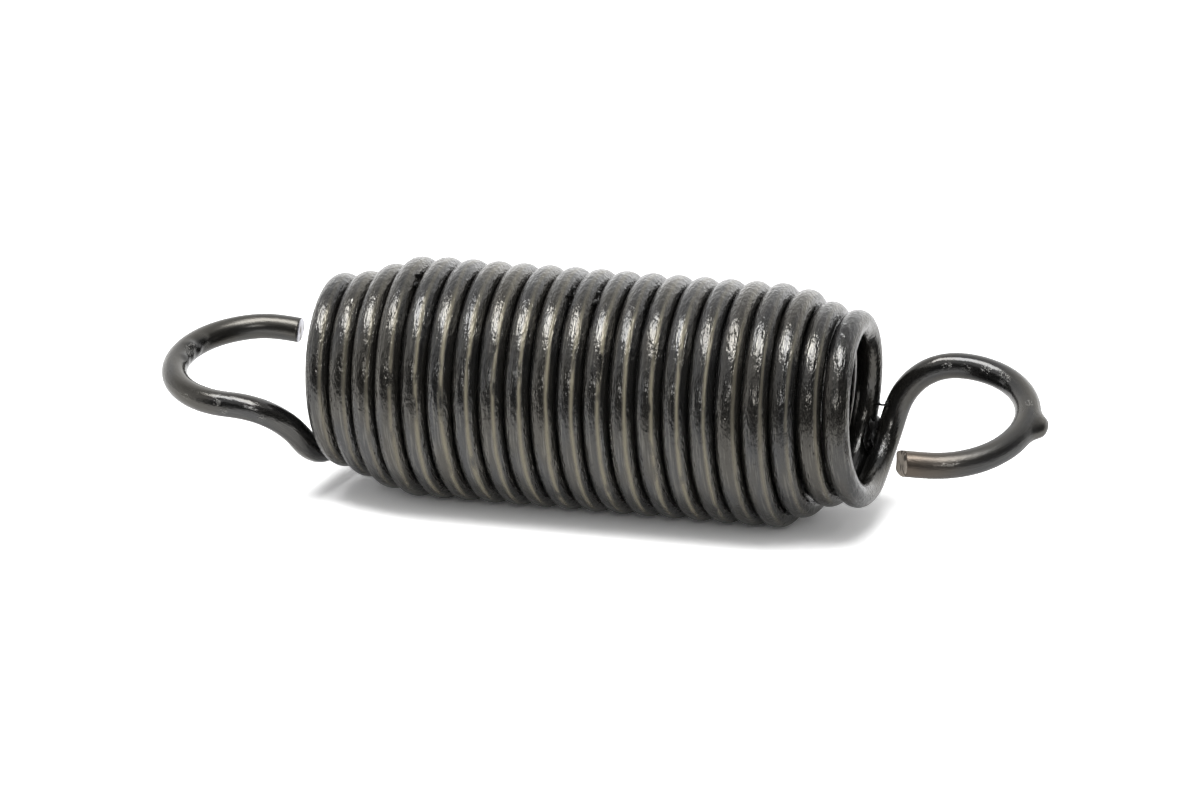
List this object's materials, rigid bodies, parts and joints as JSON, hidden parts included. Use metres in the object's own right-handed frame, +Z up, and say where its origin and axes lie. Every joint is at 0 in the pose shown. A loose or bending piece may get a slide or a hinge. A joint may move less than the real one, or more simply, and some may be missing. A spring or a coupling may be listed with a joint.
{
  "type": "extension spring",
  "caption": "Close-wound extension spring of round wire, with tapered ends that run out into open hooks.",
  "frame": {"origin": "bottom centre of the bounding box, on the surface that the spring lies on, under the middle of the coil", "axes": "+X along the coil's axis towards the end whose turns narrow more quickly, +Z up, with the spring lying on its side"},
  "size_m": [0.0866, 0.0234, 0.0233],
  "materials": {
    "wire": "black finish on drawn spring steel wire, glossy, worn on the outside of the turns"
  },
  "bodies": {
    "root": {"spring": "wire"}
  },
  "joints": []
}
